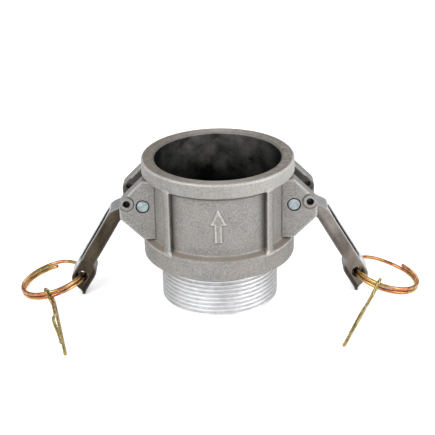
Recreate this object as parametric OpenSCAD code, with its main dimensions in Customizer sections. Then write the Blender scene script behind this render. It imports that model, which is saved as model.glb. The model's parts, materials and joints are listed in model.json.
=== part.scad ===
// Camlock coupler, 2 inch: a cast female half with a male pipe thread.
// Units are millimetres. The coupler stands on its thread end with its axis
// on +Z, the mouth up and an arm on each side (-X is left, +X is right).

/* [Body casting] */
// Height of the whole casting
body_h = 75; // [60:1:120]
// Inside radius of the socket that takes the adapter
bore_r = 31.8; // [25:0.1:45]
// Wall of the socket beside the windows
wall = 3; // [2:0.1:6]
// How far the mouth ring, ribs and lower band stand out from the wall
relief = 3.6; // [1:0.1:6]
// Height of the ring round the mouth
mouth_h = 7.6; // [4:0.1:15]
// Rounding of the mouth ring's top outer edge
mouth_fillet = 1.6; // [0.4:0.1:3]
// Lead-in chamfer at the mouth
mouth_chamfer = 0.8; // [0.3:0.1:2]
// Height of the lower band above the thread
band_h = 12; // [8:0.5:20]
// Height of the sloping ledge on top of the band
ledge_h = 1.6; // [0.5:0.1:4]
// Width of each upright rib
rib_w = 3; // [2:0.1:6]
// Distance of each rib from the middle plane
rib_x = 25; // [18:0.5:30]
// Length of the plain raised arrow that shows the flow
arrow_l = 17; // [8:1:24]
// Height of the raised arrow above the panel
arrow_h = 0.8; // [0.4:0.1:2]

/* [Thread tail] */
// Length of the threaded tail
tail_len = 24; // [16:1:40]
// Radius over the thread crests
thread_r = 29.807; // [20:0.001:45]
// Pitch of the thread
thread_pitch = 2.309; // [1:0.001:4]
// Depth of the thread
thread_depth = 1.35; // [0.6:0.05:2.5]
// Width of the flat on each crest
crest_flat = 0.4; // [0.2:0.05:1]
// Wall of the tail under the thread
tail_wall = 3.457; // [2.5:0.001:8]

/* [Gasket] */
// Thickness of the gasket
gasket_t = 6.35; // [4:0.05:10]
// How far the gasket's outer edge is buried in its groove
gasket_lap = 1.55; // [0.8:0.05:3]
// How far the gasket stands back from the hole through the tail
gasket_back = 0.4; // [0.2:0.1:3]
// Height of the gasket seat above the bottom of the band
seat_lift = 3.5; // [2:0.1:10]
// Space between the gasket and its groove
gasket_gap = 0.1; // [0.05:0.05:0.5]

/* [Ears] */
// Clear slot between the two ears of a pair
slot_w = 14.3; // [10:0.1:20]
// Thickness of each ear
ear_t = 8.1; // [5:0.1:12]
// Reach of the ears beyond the pins
ear_reach = 11.6; // [8:0.1:20]
// Where the ear's slopes start, beyond the pins
ear_shoulder = 0.2; // [-3:0.1:4]
// Height of the ear's upright outer edge
ear_flat = 8.6; // [4:0.2:20]
// How far the middle of that edge lies below the pins
ear_drop = 2.3; // [0:0.1:6]
// Radius of the rounded ear corner
ear_corner_r = 5; // [2:0.5:8]
// Rounding of the ear's other outline corners
ear_edge_r = 1.5; // [0.5:0.1:3]

/* [Pivot pins] */
// Distance of each pin from the socket's wall
pivot_out = 5.6; // [5:0.1:10]
// Depth of the pins below the mouth
pivot_drop = 21; // [16:0.1:35]
// Radius of the pin
pin_r = 3.175; // [2:0.025:5]
// Running fit between pin and holes
pin_fit = 0.05; // [0.02:0.01:0.1]
// Width of the countersink round each pin end
pin_sink_w = 0.425; // [0.1:0.025:2]
// Depth of that countersink
pin_sink_d = 0.8; // [0.3:0.1:2]
// How far the pin end stands back from the ear face
pin_recess = 0.15; // [0:0.05:0.5]

/* [Safety holes] */
// Distance of the safety hole beyond the pins
safe_out = 7.9; // [5:0.1:15]
// Height of the safety hole above the pins
safe_up = 1.6; // [0:0.1:8]
// Radius of the safety hole
safe_r = 1.6; // [1:0.05:3]
// Width of the round pad on the ear face
pad_w = 1.8; // [1:0.1:4]
// Height of that pad
pad_h = 0.4; // [0.2:0.05:1]

/* [Cam arms] */
// Angle of the arms from closed as they stand
rest_angle = 30; // [10:1:60]
// Side gap between an arm and each ear
arm_side_gap = 0.35; // [0.3:0.05:1]
// Distance from pivot to the hole of the pull ring, along the arm
hole_w = 54; // [40:0.5:80]
// Offset of that hole from the pivot, away from the body
hole_u = 7.4; // [5:0.1:12]
// Clearance of the pull ring's wires in their hole
hole_gap = 0.36; // [0.3:0.02:1]
// Offset of the arm's inner edge
inner_u = 4.9; // [4:0.1:8]
// Thickness of the arm seen from the side
arm_t = 7.1; // [5:0.1:10]
// Wall of the eye round the pivot
eye_wall = 2.175; // [1.5:0.025:4]
// Reach of the cam lobe from the pivot
cam_reach = 9.6; // [8:0.1:12]
// Angle of the lobe below level when closed
cam_angle = 36; // [20:1:60]
// Width of the hollow along the arm's outer face
groove_w = 9.2; // [5:0.1:11]
// Depth of that hollow
groove_d = 2.6; // [1:0.1:4]

/* [Pull rings] */
// Radius of the pull ring at the wire's centre
ring_r = 16.8; // [12:0.1:25]
// Radius of the ring's wire
ring_wire_r = 1; // [0.6:0.05:1.5]
// Gap between the two turns
ring_gap = 0.12; // [0.05:0.01:0.4]
// Clearance of the rings and clips from the ground
ground_gap = 0.3; // [0.1:0.1:2]
// Turns of wire in the ring
ring_turns = 1.68; // [1.2:0.02:1.9]
// Where the left ring's first cut end lies, from its hole
ring_start_left = -270; // [-340:5:-200]
// Where the right ring's first cut end lies, from its hole
ring_start_right = -233; // [-340:1:-200]

/* [Safety clips] */
// Radius of the clip's wire
clip_wire_r = 0.9; // [0.5:0.05:1.4]
// Radius of the clip's eye at the wire's centre
clip_eye_r = 4.3; // [3.4:0.1:7]
// Length of the clip's straight leg
clip_len = 52; // [30:1:70]
// Distance of the clip's bowed leg at its narrow throat
clip_throat = 2.3; // [2:0.1:5]
// Clearance where a clip's eye hangs on the ring
clip_seat_gap = 0.3; // [0.2:0.05:0.6]
// Place of the left clip on its ring, from the hole
clip_at_left = -92; // [-140:1:-40]
// Place of the right clip on its ring, from the hole
clip_at_right = -67; // [-140:1:-40]
// Roll of the left clip's flat side about its legs
clip_roll_left = 78; // [20:1:90]
// Roll of the right clip's flat side about its legs
clip_roll_right = 84; // [20:1:90]
// Turn of the left clip inwards from square to its ring
clip_turn_left = 14; // [-30:1:40]
// Turn of the right clip inwards from square to its ring
clip_turn_right = -2; // [-30:1:40]

/* [Smoothness] */
// Segments of each full circle
smooth = 96; // [32:8:200]
// Sides of a wire
wire_sides = 8; // [6:1:12]

/* [Part shown] */
// Which part to draw

/* [Hidden] */
$fn = smooth;
eps = 0.01;

// body
panel_r = bore_r + wall;
out_r = panel_r + relief;
band_top = tail_len + band_h;
mouth_z = body_h - mouth_h;
thread_root = thread_r - thread_depth;
tail_bore_r = thread_root - tail_wall;
seat_z = tail_len + seat_lift;
groove_r = bore_r + gasket_lap;
groove_top = seat_z + gasket_t + gasket_gap;
gasket_ir = tail_bore_r + gasket_back;
thread_n = floor((tail_len - 3) / thread_pitch);

// pins, eyes and safety holes
pivot_x = bore_r + pivot_out;
pivot_z = body_h - pivot_drop;
pin_sink_r = pin_r + pin_fit + pin_sink_w;
eye_r = pin_r + pin_fit + eye_wall;
safe_x = pivot_x + safe_out;
safe_z = pivot_z + safe_up;
pad_r = safe_r + pad_w;

// ears
slot_h = slot_w / 2;
ear_y = slot_h + ear_t;
ear_bot = band_top;
ear_top = mouth_z;
ear_in = bore_r + wall / 2;
ear_x = pivot_x + ear_reach;
ear_shoulder_x = pivot_x + ear_shoulder;
ear_mid = pivot_z - ear_drop;

// window for the cams
win_top = pivot_z + eye_r + 1.8;
win_bot = pivot_z - cam_reach - 1.8;

// arm
arm_h = slot_h - arm_side_gap;
outer_u = inner_u + arm_t;
toe_w = hole_w + 9.6;
ring_sag = ring_r - sqrt(pow(ring_r, 2) - pow(arm_h, 2));
ring_pitch = 2 * ring_wire_r + ring_gap;
hole_r = norm([ring_sag / 2, ring_pitch / 2]) + ring_wire_r + hole_gap;

// ring and clip seats, in world coordinates, right-hand side
hole_x = pivot_x + hole_u * cos(rest_angle) + hole_w * sin(rest_angle);
hole_z = pivot_z + hole_u * sin(rest_angle) - hole_w * cos(rest_angle);
ring_slope = asin((hole_z - ring_pitch / 2 - ring_wire_r - ground_gap) / (2 * ring_r - ring_sag / 2));

// one wire as a closed tube along the points p, with round section radius r
function unit(v) = v / norm(v);
function tangent(p, i) = unit(p[min(i + 1, len(p) - 1)] - p[max(i - 1, 0)]);
function side(t, up) = unit(cross(t, up));
module wire(p, r, up, sides = wire_sides) {
    n = len(p);
    pts = [for (i = [0 : n - 1]) let (t = tangent(p, i), a = side(t, up), b = cross(a, t))
           for (k = [0 : sides - 1]) p[i] + r * (cos(360 * k / sides) * a + sin(360 * k / sides) * b)];
    walls = [for (i = [0 : n - 2]) for (k = [0 : sides - 1]) let (k2 = (k + 1) % sides)
             [i * sides + k, i * sides + k2, (i + 1) * sides + k2, (i + 1) * sides + k]];
    capa = [[for (k = [sides - 1 : -1 : 0]) k]];
    capb = [[for (k = [0 : sides - 1]) (n - 1) * sides + k]];
    polyhedron(points = pts, faces = concat(walls, capa, capb), convexity = 8);
}

// ---- coupler body -------------------------------------------------------
module body_blank() {
    rotate_extrude()
        polygon(concat(
            [[tail_bore_r, 0.6], [tail_bore_r + 0.6, 0], [thread_root - 0.4, 0], [thread_root, 0.6]],
            [for (i = [0 : thread_n - 1], c = [0 : 3]) let (z0 = 1.4 + i * thread_pitch,
                s = (thread_pitch - crest_flat - 0.3) / 2)
                c == 0 ? [thread_root, z0] :
                c == 1 ? [thread_r, z0 + s] :
                c == 2 ? [thread_r, z0 + s + crest_flat] :
                         [thread_root, z0 + 2 * s + crest_flat]],
            [[thread_root, tail_len], [out_r - 0.7, tail_len], [out_r, tail_len + 0.7],
             [out_r, band_top - ledge_h - 0.3], [out_r - 0.3, band_top - ledge_h],
             [panel_r + 0.4, band_top], [panel_r, band_top + 0.5],
             [panel_r, mouth_z - 0.5], [panel_r + 0.5, mouth_z],
             [out_r - 0.4, mouth_z], [out_r, mouth_z + 0.4],
             [out_r, body_h - mouth_fillet]],
            [for (a = [15 : 15 : 90]) [out_r - mouth_fillet * (1 - cos(a)), body_h - mouth_fillet * (1 - sin(a))]],
            [[bore_r + mouth_chamfer, body_h], [bore_r, body_h - mouth_chamfer],
             [bore_r, groove_top], [groove_r + gasket_gap, groove_top],
             [groove_r + gasket_gap, seat_z], [tail_bore_r + 0.6, seat_z], [tail_bore_r, seat_z - 0.6]]));
}

module rib(s) {
    translate([s * rib_x - rib_w / 2, 0, band_top - ledge_h - eps])
        cube([rib_w, out_r, mouth_z - band_top + ledge_h + 0.4]);
}

module ribs() {
    intersection() {
        difference() {
            cylinder(r = out_r - 0.05, h = body_h);
            translate([0, 0, -1]) cylinder(r = bore_r + wall / 2, h = body_h + 2);
        }
        for (m = [0, 180], s = [-1, 1]) rotate([0, 0, m]) rib(s);
    }
}

// rounds the corner b of the path a-b-c with radius r, as n points
function fillet_pts(a, b, c, r, n = 6) =
    let (u = unit(a - b), v = unit(c - b), half = acos(u * v) / 2,
         d = r / tan(half), k = b + unit(u + v) * r / sin(half),
         s = b + u * d - k, e = b + v * d - k,
         a0 = atan2(s[1], s[0]), a1 = atan2(e[1], e[0]), da = ((a1 - a0 + 540) % 360) - 180)
    [for (i = [0 : n]) k + r * [cos(a0 + da * i / n), sin(a0 + da * i / n)]];

module ear_outline() {
    a = [ear_in, ear_top];
    b = [ear_shoulder_x, ear_top];
    c = [ear_x, ear_mid + ear_flat / 2];
    d = [ear_x, ear_mid - ear_flat / 2];
    e = [ear_shoulder_x, ear_bot];
    f = [ear_in, ear_bot];
    polygon(concat([f, a], fillet_pts(a, b, c, ear_edge_r), fillet_pts(b, c, d, ear_corner_r),
                   fillet_pts(c, d, e, ear_edge_r * 1.6), fillet_pts(d, e, f, ear_edge_r)));
}

module ear_pair(s) {
    mirror([s < 0 ? 1 : 0, 0, 0]) {
        for (y = [-ear_y, slot_h]) translate([0, y + ear_t, 0]) rotate([90, 0, 0])
            linear_extrude(ear_t) ear_outline();
        // round pads round the safety hole
        for (m = [0, 1]) mirror([0, m, 0]) translate([safe_x, -ear_y - pad_h, safe_z]) rotate([-90, 0, 0])
            cylinder(r = pad_r, h = pad_h + 1);
    }
}

module ear_cuts(s) {
    mirror([s < 0 ? 1 : 0, 0, 0]) {
        // window through the wall, and the slot carried through the mouth ring's foot
        translate([bore_r - 6, -slot_h, win_bot]) cube([out_r + 12 - bore_r, slot_w, win_top - win_bot]);
        // pin hole with a countersink at each face
        translate([pivot_x, -ear_y - 1, pivot_z]) rotate([-90, 0, 0])
            cylinder(r = pin_r + pin_fit, h = 2 * ear_y + 2);
        for (m = [0, 1]) mirror([0, m, 0]) translate([pivot_x, -ear_y - 1, pivot_z]) rotate([-90, 0, 0])
            cylinder(r = pin_sink_r, h = pin_sink_d + 1);
        // safety clip hole
        translate([safe_x, -ear_y - 1, safe_z]) rotate([-90, 0, 0])
            cylinder(r = safe_r, h = 2 * ear_y + 2);
    }
}

module flow_arrow() {
    // plain raised arrow on the front panel, pointing up
    w = arrow_l * 0.42;
    rotate([90, 0, 0]) translate([0, 0, panel_r - 1.2]) linear_extrude(arrow_h + 1.2)
        polygon([[-w * 0.22, 0], [w * 0.22, 0], [w * 0.22, arrow_l * 0.55], [w * 0.5, arrow_l * 0.55],
                 [0, arrow_l], [-w * 0.5, arrow_l * 0.55], [-w * 0.22, arrow_l * 0.55]]);
}

module coupler_body() {
    color([0.66, 0.65, 0.63]) difference() {
        union() {
            body_blank();
            ribs();
            ear_pair(-1);
            ear_pair(1);
            translate([0, 0, (band_top + mouth_z - arrow_l) / 2]) flow_arrow();
        }
        // keeps the ears and ribs out of the socket
        translate([0, 0, groove_top + eps]) cylinder(r = bore_r, h = body_h - groove_top - mouth_chamfer - eps);
        ear_cuts(-1);
        ear_cuts(1);
    }
}

// ---- gasket -------------------------------------------------------------
module gasket() {
    c = 0.5;
    r = groove_r;
    color([0.13, 0.13, 0.14]) rotate_extrude()
        polygon([[gasket_ir + c, seat_z], [r - c, seat_z], [r, seat_z + c], [r, seat_z + gasket_t - c],
                 [r - c, seat_z + gasket_t], [gasket_ir + c, seat_z + gasket_t],
                 [gasket_ir, seat_z + gasket_t - c], [gasket_ir, seat_z + c]]);
}

// ---- pivot pins ---------------------------------------------------------
module pivot_pin(s) {
    c = 0.35;
    l = 2 * (ear_y - pin_recess);
    color([0.77, 0.82, 0.85]) translate([s * pivot_x, l / 2, pivot_z]) rotate([90, 0, 0])
        rotate_extrude()
            polygon([[0, 0], [pin_r - c, 0], [pin_r, c], [pin_r, l - c], [pin_r - c, l], [0, l]]);
}
module left_pivot_pin() { pivot_pin(-1); }
module right_pivot_pin() { pivot_pin(1); }

// ---- cam arms -----------------------------------------------------------
// outline in the closed position: u outwards from the pivot, w down the arm
function pol(r, a) = [r * cos(a), r * sin(a)];
module arm_outline() {
    // eye, lobe, straight part, heel and toe; angles run from u towards w
    lobe = 180 - cam_angle;
    polygon(concat(
        [for (a = [240 : 12 : 360]) pol(eye_r, a)],
        [[5.1, 3.4], [5.9, 5.8], [7.3, 7.8], [9.0, 9.6], [10.5, 12.2], [outer_u - 0.4, 15.2], [outer_u - 0.1, 18]],
        [[outer_u, 30], [outer_u + 0.8, hole_w - 3], [outer_u + 0.7, hole_w + 2],
         [outer_u + 0.1, hole_w + 4.4], [outer_u - 1.9, hole_w + 6.2],
         [hole_u + 0.2, hole_w + 7.6], [4.2, toe_w - 0.8], [3.0, toe_w], [1.9, toe_w - 0.2], [1.6, toe_w - 1.4]],
        [[2.5, hole_w + 6], [2.5, hole_w + 3], [2.0, hole_w - 1], [1.9, hole_w - 4], [2.4, hole_w - 5.8],
         [3.8, hole_w - 7.2], [inner_u + 0.2, hole_w - 8.8], [inner_u + 0.4, hole_w - 10.5],
         [inner_u, hole_w - 18], [inner_u, 17]],
        [[inner_u - 0.4, 13], [inner_u - 1.9, 9.6]],
        [for (i = [0 : 6]) let (a = lobe - 46 + i * 46 / 6) pol(cam_reach * (0.84 + 0.16 * i / 6), a)],
        [for (i = [1 : 5]) let (a = lobe + i * 8) pol(cam_reach - (cam_reach - eye_r + 0.3) * i / 6, a)],
        [for (a = [lobe + 48 : 12 : 232]) pol(eye_r - 0.3, a)]));
}

module cam_arm_closed() {
    difference() {
        // u goes to +X, w goes to -Z, thickness is centred on Y
        translate([0, arm_h, 0]) rotate([90, 0, 0]) linear_extrude(2 * arm_h) mirror([0, 1]) arm_outline();
        rotate([90, 0, 0]) cylinder(r = pin_r + pin_fit, h = slot_w, center = true);
        translate([hole_u, 0, -hole_w]) rotate([90, 0, 0]) cylinder(r = hole_r, h = slot_w, center = true);
        // hollow along the outer face
        translate([outer_u - groove_d, -groove_w / 2, -hole_w + 11]) cube([groove_d + 4, groove_w, hole_w - 28]);
        translate([outer_u - groove_d, 0, -hole_w + 11]) rotate([0, 90, 0]) cylinder(r = groove_w / 2, h = groove_d + 4);
        translate([outer_u - groove_d, 0, -17]) rotate([0, 90, 0]) cylinder(r = groove_w / 2, h = groove_d + 4);
    }
}

module cam_arm(s) {
    color([0.42, 0.38, 0.35]) mirror([s < 0 ? 1 : 0, 0, 0])
        translate([pivot_x, 0, pivot_z]) rotate([0, -rest_angle, 0]) cam_arm_closed();
}
module left_cam_arm() { cam_arm(-1); }
module right_cam_arm() { cam_arm(1); }

// ---- pull rings ---------------------------------------------------------
// flat coil in its own frame: centre of the hole at the origin, centre of the
// ring on +X. The arc inside the hole bulges evenly to both sides of it.
ring_steps = 96;
function ring_pt(t) = [ring_r - ring_r * cos(t) - ring_sag / 2, ring_r * sin(t), 0];
// the turns lie one on the other and step over between the angles a0 and a1
function ring_step(t, a0, a1) = let (q = min(1, max(0, (t - a0) / (a1 - a0))))
    ring_pitch * (q * q * (3 - 2 * q) - 0.5);
function ring_path(start, way) = let (end = start + 360 * ring_turns,
        a0 = max(end - 360, asin(arm_h / ring_r)), a1 = start + 360)
    [for (i = [0 : ring_steps]) let (t = start + 360 * ring_turns * i / ring_steps)
        ring_pt(t) + [0, 0, way * ring_step(t, a0 + 4, a1 - 4)]];

// puts things drawn in the ring's frame, or in the arm's hole, in their place
module at_ring(s) {
    mirror([s < 0 ? 1 : 0, 0, 0]) translate([hole_x, 0, hole_z]) rotate([0, ring_slope, 0]) children();
}
module pull_ring(s, start, way) {
    color([0.80, 0.70, 0.42]) at_ring(s) wire(ring_path(start, way), ring_wire_r, [0, 0, 1]);
}
module left_pull_ring() { pull_ring(-1, ring_start_left, 1); }
module right_pull_ring() { pull_ring(1, ring_start_right, -1); }

// ---- safety clips -------------------------------------------------------
// flat hairpin in its own frame: eye centre at the origin, legs along -Y
function bow(y) = let (k = -y / clip_len)
    clip_throat + 3.2 * pow(sin(180 * min(1, max(0, (k - 0.28) / 0.5))), 2)
    + 4.6 * pow(max(0, k - 0.82) / 0.18, 1.5);
clip_path = concat(
    [for (i = [0 : 3]) [-clip_eye_r, -clip_len + i * (clip_len - 6) / 3, 0]],
    [for (i = [1 : 3]) [-clip_eye_r, -6 + i * 2, 0]],
    [for (a = [168 : -14 : -30]) [clip_eye_r * cos(a), clip_eye_r * sin(a), 0]],
    [for (i = [0 : 16]) let (y = -clip_eye_r * 0.98 - i * (clip_len * 0.86 - clip_eye_r) / 16)
        [-clip_eye_r + bow(y), y, 0]]);
// the eye hangs on the upper turn: its centre is this far under the ring's
clip_drop = clip_eye_r - clip_wire_r - ring_pitch / 2 - ring_wire_r - clip_seat_gap;

// the clip is square to the ring's wire but for a turn and a roll, and falls
// until the tip of its straight leg lies on the ground
module safety_clip(s, at, turn, roll) {
    p = ring_pt(at);
    yaw = -(at + 90);
    rise = cos(yaw) * sin(ring_slope);
    eye_z = hole_z - p[0] * sin(ring_slope) - clip_drop * cos(ring_slope)
        + clip_eye_r * (cos(roll) * rise - sin(roll) * cos(ring_slope));
    a = [cos(at) * sin(ring_slope), cos(ring_slope)];
    k = ((clip_wire_r + ground_gap - eye_z) / clip_len - sin(turn) * rise) / cos(turn);
    fall = acos(k / norm(a)) - atan2(a[1], a[0]);
    color([0.62, 0.58, 0.40]) at_ring(s) translate(p + [0, 0, -clip_drop])
        rotate([0, 0, yaw]) rotate([fall, 0, 0]) rotate([0, 0, -turn]) rotate([0, -roll, 0])
            wire(clip_path, clip_wire_r, [0, 0, 1]);
}
module left_safety_clip() { safety_clip(-1, clip_at_left, clip_turn_left, clip_roll_left); }
module right_safety_clip() { safety_clip(1, clip_at_right, clip_turn_right, clip_roll_right); }

coupler_body();
gasket();
left_pivot_pin();
right_pivot_pin();
left_cam_arm();
right_cam_arm();
left_pull_ring();
right_pull_ring();
left_safety_clip();
right_safety_clip();
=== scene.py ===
import json
import math

import bpy
import numpy as np
from mathutils import Euler, Matrix


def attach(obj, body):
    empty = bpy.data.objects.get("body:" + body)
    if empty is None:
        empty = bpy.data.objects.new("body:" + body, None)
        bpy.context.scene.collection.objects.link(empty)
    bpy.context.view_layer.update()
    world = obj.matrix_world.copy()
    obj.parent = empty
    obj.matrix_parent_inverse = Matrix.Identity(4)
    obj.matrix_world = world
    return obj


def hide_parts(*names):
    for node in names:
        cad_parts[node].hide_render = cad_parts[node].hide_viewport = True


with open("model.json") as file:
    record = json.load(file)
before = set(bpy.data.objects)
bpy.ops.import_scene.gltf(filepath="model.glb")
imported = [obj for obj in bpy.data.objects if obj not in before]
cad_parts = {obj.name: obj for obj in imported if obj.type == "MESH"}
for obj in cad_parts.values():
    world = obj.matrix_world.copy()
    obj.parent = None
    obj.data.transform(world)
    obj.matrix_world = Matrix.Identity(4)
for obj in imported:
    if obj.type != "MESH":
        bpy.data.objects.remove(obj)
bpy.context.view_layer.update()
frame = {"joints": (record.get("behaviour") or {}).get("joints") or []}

# Shapes are drawn in millimetres, from the coupler's axis and the thread's end. Materials read places in
# metres, and the last section is in metres too.
hinge = {joint["name"]: np.array(joint["pos_m"]) * 1000 for joint in frame["joints"]}

# ---- Coupler casting ------------------------------------------------------
# The female half of the coupling: one sand-cast, shot-blasted aluminium part
# with a mouth ring, four ribs, a lower band and two pairs of ears. The socket,
# the gasket groove and the pin holes are machined into it.

BORE_R, PANEL_R, OUTER_R, TAIL_BORE = 31.8, 34.8, 38.35, 25.0
BAND_Z, BAND_TOP, MOUTH_Z, TOP_Z = 24.0, 36.0, 67.4, 75.0
GROOVE_R, GROOVE_Z, GROOVE_TOP = 33.45, 27.5, 33.95
RIB_X, RIB_HALF, RIB_Z, RIB_REACH = 25.0, 1.5, 51.0, 17.5
WINDOW_HALF, WINDOW_Z, WINDOW_REACH = 7.25, 51.9, 9.3
EDGE = 0.8  # how far inside the finished skin the profiles are drawn

CAST_GREY = (0.160, 0.153, 0.145)
CAST_PALE = (0.315, 0.305, 0.290)
CAST_WARM = (0.310, 0.250, 0.190)
MOUTH_TARNISH = (0.115, 0.098, 0.082)
# Painted shade, with grime, for corners and creases
GRIME_AND_SHADE = (0.045, 0.041, 0.036)
# Wear with a painted highlight, for rims and the mouth ring's right side
RIM_WEAR_AND_HIGHLIGHT = (0.55, 0.54, 0.52)
# Socket: painted shade, black deep down and dark near the mouth; scuffs with painted light on the back wall
SOCKET_BLACK = (0.002, 0.002, 0.002)
SOCKET_DARK = (0.008, 0.008, 0.008)
SOCKET_SCUFF_AND_LIGHT = (0.20, 0.195, 0.185)
# Painted shade inside holes and hollows
HOLE_SHADE_BLACK = (0.004, 0.004, 0.004)


def blend_of(a, b, k):
    """Soft union of two distances: the smaller one, less a parabola of height k/4 where they differ by less
    than k."""
    h = np.maximum(k - np.abs(a - b), 0) / k
    return np.minimum(a, b) - h * h * k / 4


def cut_of(a, b, k):
    """Soft cut: a, where it is outside b, with the edge rounded over k."""
    return -blend_of(-a, b, k)


def both_of(a, b, k):
    """Soft intersection of two distances."""
    return -blend_of(-a, -b, k)


def outline_distance(u, v, corners):
    """Signed distance to a closed outline: the least distance to its edges, negative where a ray from the
    point crosses the outline an odd number of times."""
    best = np.full(u.shape, 1e9)
    odd = np.zeros(u.shape, bool)
    for (ax, ay), (bx, by) in zip(corners, np.roll(corners, -1, axis=0)):
        ex, ey = bx - ax, by - ay
        t = np.clip(((u - ax) * ex + (v - ay) * ey) / (ex * ex + ey * ey), 0, 1)
        best = np.minimum(best, (u - ax - t * ex) ** 2 + (v - ay - t * ey) ** 2)
        if ay != by:
            odd ^= ((ay > v) != (by > v)) & (u < ex * (v - ay) / ey + ax)
    return np.where(odd, -1, 1) * np.sqrt(best)


def wavy(x, y, z, size, seed):
    """Gentle unevenness between -1 and 1: a sum of six sine waves with seeded directions and a wavelength
    of about size."""
    rng = np.random.default_rng(seed)
    total = 0
    for _ in range(6):
        d = rng.normal(size=3)
        d *= 2 * math.pi / size / np.linalg.norm(d) * rng.uniform(0.7, 1.4)
        total = total + np.sin(d[0] * x + d[1] * y + d[2] * z + rng.uniform(0, 6.28))
    return total / 6


def cell_net(values, low, step):
    """Points and four-sided faces of the surface on which a grid of distances changes sign. One point
    stands in each cell that the surface crosses, at the mean of the crossings on its edges, and each
    crossed grid edge joins its four cells."""
    inside = values < 0
    cells = tuple(n - 1 for n in values.shape)
    total, count, crossed = np.zeros(cells + (3,)), np.zeros(cells), []
    for a in range(3):
        b, c = (a + 1) % 3, (a + 2) % 3
        near = tuple(slice(None, -1) if i == a else slice(None) for i in range(3))
        far = tuple(slice(1, None) if i == a else slice(None) for i in range(3))
        hit = inside[near] != inside[far]
        where = np.stack(np.meshgrid(*[np.arange(n, dtype=float) for n in hit.shape], indexing="ij"), -1)
        with np.errstate(divide="ignore", invalid="ignore"):
            where[..., a] += np.where(hit, values[near] / (values[near] - values[far]), 0)
        where *= hit[..., None]
        for db in (0, 1):
            for dc in (0, 1):
                part = [slice(None)] * 3
                part[b], part[c] = slice(db, db + cells[b]), slice(dc, dc + cells[c])
                total += where[tuple(part)]
                count += hit[tuple(part)]
        crossed.append((b, c, hit, inside[near]))
    used = count > 0
    points = np.array(low) + step * total[used] / count[used][:, None]
    number = np.cumsum(used.ravel()).reshape(used.shape) - 1
    faces = []
    for b, c, hit, first_in in crossed:
        at = np.argwhere(hit)
        at = at[(at[:, b] > 0) & (at[:, c] > 0) & (at[:, b] < cells[b]) & (at[:, c] < cells[c])]
        ring = []
        for db, dc in ((1, 1), (0, 1), (0, 0), (1, 0)):
            cell = at.copy()
            cell[:, b] -= db
            cell[:, c] -= dc
            ring.append(number[tuple(cell.T)])
        quad = np.stack(ring, 1)
        faces.append(np.where(first_in[tuple(at.T)][:, None], quad, quad[:, ::-1]))
    return points, np.concatenate(faces)


def settle(solid, points, step):
    """Moves points onto the surface, three times, each time along the distance's gradient by the distance
    over the gradient's length. Returns them and the direction that each one faces."""
    e = 0.04 * step
    for _ in range(3):
        off = solid(*points.T)
        slope = [solid(*(points + e * s).T) - solid(*(points - e * s).T) for s in np.eye(3)]
        slope = np.stack(slope, 1) / (2 * e)
        move = -off[:, None] * slope / np.maximum((slope * slope).sum(1), 0.25)[:, None]
        points = points + np.clip(move, -0.6 * step, 0.6 * step)
    return points, slope / np.maximum(np.linalg.norm(slope, axis=1), 1e-6)[:, None]


def skin_of(solid, low, high, step, reach=0.9):
    """Points, faces and marks of a solid's surface. The marks are each point's share of an inner corner and
    of an outer rim: how far the distance, taken at reach above and below the skin, falls short of reach."""
    lines = [np.arange(a, b + step, step) for a, b in zip(low, high)]
    points, faces = cell_net(solid(*np.meshgrid(*lines, indexing="ij")), low, step)
    points, facing = settle(solid, points, step)
    corner = np.clip(1 - solid(*(points + reach * facing).T) / reach, 0, 1)
    rim = np.clip(1 + solid(*(points - reach * facing).T) / reach, 0, 1)
    return points, faces, {"corner": corner, "rim": rim}


def piece_of(name, points, faces, material, body, replaces=None, marks=None):
    """Puts points in millimetres and a table of faces into one mesh object, smooth shaded, and has it ride
    on its body. The marks become attributes that its material can read."""
    mesh = bpy.data.meshes.new(name)
    sides = faces.shape[1]
    mesh.vertices.add(len(points))
    mesh.vertices.foreach_set("co", (points / 1000).astype(np.float32).ravel())
    mesh.loops.add(faces.size)
    mesh.loops.foreach_set("vertex_index", faces.astype(np.int32).ravel())
    mesh.polygons.add(len(faces))
    mesh.polygons.foreach_set("loop_start", np.arange(len(faces), dtype=np.int32) * sides)
    mesh.polygons.foreach_set("loop_total", np.full(len(faces), sides, np.int32))
    mesh.update(calc_edges=True)
    mesh.validate()
    mesh.polygons.foreach_set("use_smooth", np.ones(len(mesh.polygons), bool))
    for key, values in (marks or {}).items():
        mesh.attributes.new(key, "FLOAT", "POINT").data.foreach_set("value", values.astype(np.float32))
    mesh.materials.append(material)
    obj = bpy.data.objects.new(name, mesh)
    bpy.context.scene.collection.objects.link(obj)
    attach(obj, body)
    if replaces:
        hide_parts(replaces)


def quarter(r, z, radius, start, n=5):
    """Corners of a quarter circle about (r, z), from the angle start onwards."""
    t = np.radians(np.linspace(start, start + 90, n))
    return np.stack([r + radius * np.cos(t), z + radius * np.sin(t)], 1)


# Profiles of radius and height: the band with its sloping ledge, the mouth ring, and what the lathe takes
# out of the socket; and the front view of the flow arrow
BAND = np.array([[20, BAND_Z + EDGE], [OUTER_R - EDGE, BAND_Z + EDGE], [OUTER_R - EDGE, BAND_TOP - 2.2],
                 [OUTER_R - 1.2, BAND_TOP - 2.0], [PANEL_R - 0.9, BAND_TOP - 0.7], [20, BAND_TOP - 0.7]])
MOUTH = np.concatenate([[[20, MOUTH_Z + EDGE], [OUTER_R - EDGE, MOUTH_Z + EDGE]],
                        quarter(OUTER_R - 1.2, TOP_Z - 1.24, 0.4, 0), [[20, TOP_Z - 0.84]]])
SOCKET_CUT = np.array([[-5, 20], [TAIL_BORE, 20], [TAIL_BORE, GROOVE_Z - 0.5], [TAIL_BORE + 0.5, GROOVE_Z],
                       [GROOVE_R, GROOVE_Z], [GROOVE_R, GROOVE_TOP], [BORE_R, GROOVE_TOP],
                       [BORE_R, TOP_Z - 0.8], [BORE_R + 0.8, TOP_Z], [BORE_R + 0.8, TOP_Z + 6],
                       [-5, TOP_Z + 6]])
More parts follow.
